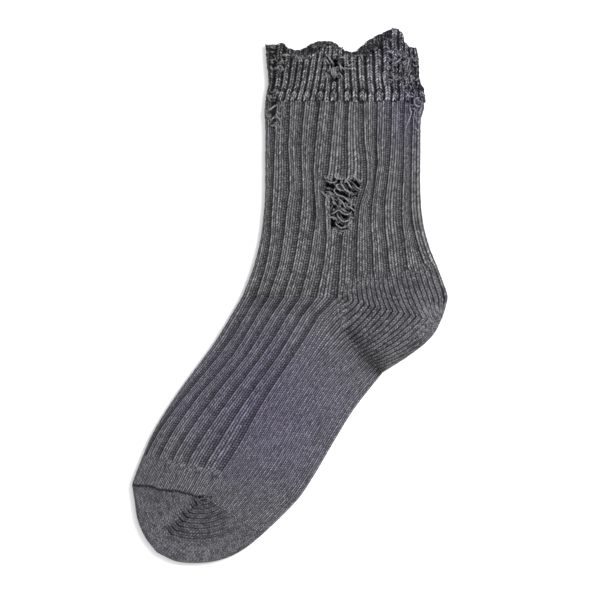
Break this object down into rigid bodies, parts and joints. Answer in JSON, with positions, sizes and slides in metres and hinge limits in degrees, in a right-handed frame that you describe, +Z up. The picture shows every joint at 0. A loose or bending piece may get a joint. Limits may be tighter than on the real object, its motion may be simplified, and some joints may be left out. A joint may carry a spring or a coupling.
{
  "type": "holey sock",
  "caption": "Worn crew sock laid flat on its side, with a ribbed leg, frayed frilled cuff, short-row heel and toe pockets, and a hole worn through at the ankle.",
  "frame": {"origin": "centre of the sock's footprint on the surface that it lies on", "axes": "+Y up the leg to the cuff, +X to the heel side, +Z up from the surface"},
  "size_m": [0.1708, 0.2888, 0.007],
  "materials": {
    "cuff_knit": "matt charcoal cotton, 1x1 rib, frayed frilled rim",
    "rib_knit": "matt charcoal cotton marl, 2x2 rib",
    "heel_knit": "matt charcoal cotton, plain knit short rows",
    "foot_knit": "matt charcoal cotton with a faded violet cast, rib over plain knit",
    "toe_knit": "matt charcoal cotton, plain knit short rows with a linked seam"
  },
  "bodies": {
    "root": {"cuff": "cuff_knit", "leg": "rib_knit", "heel": "heel_knit", "foot": "foot_knit", "toe": "toe_knit"}
  },
  "joints": []
}
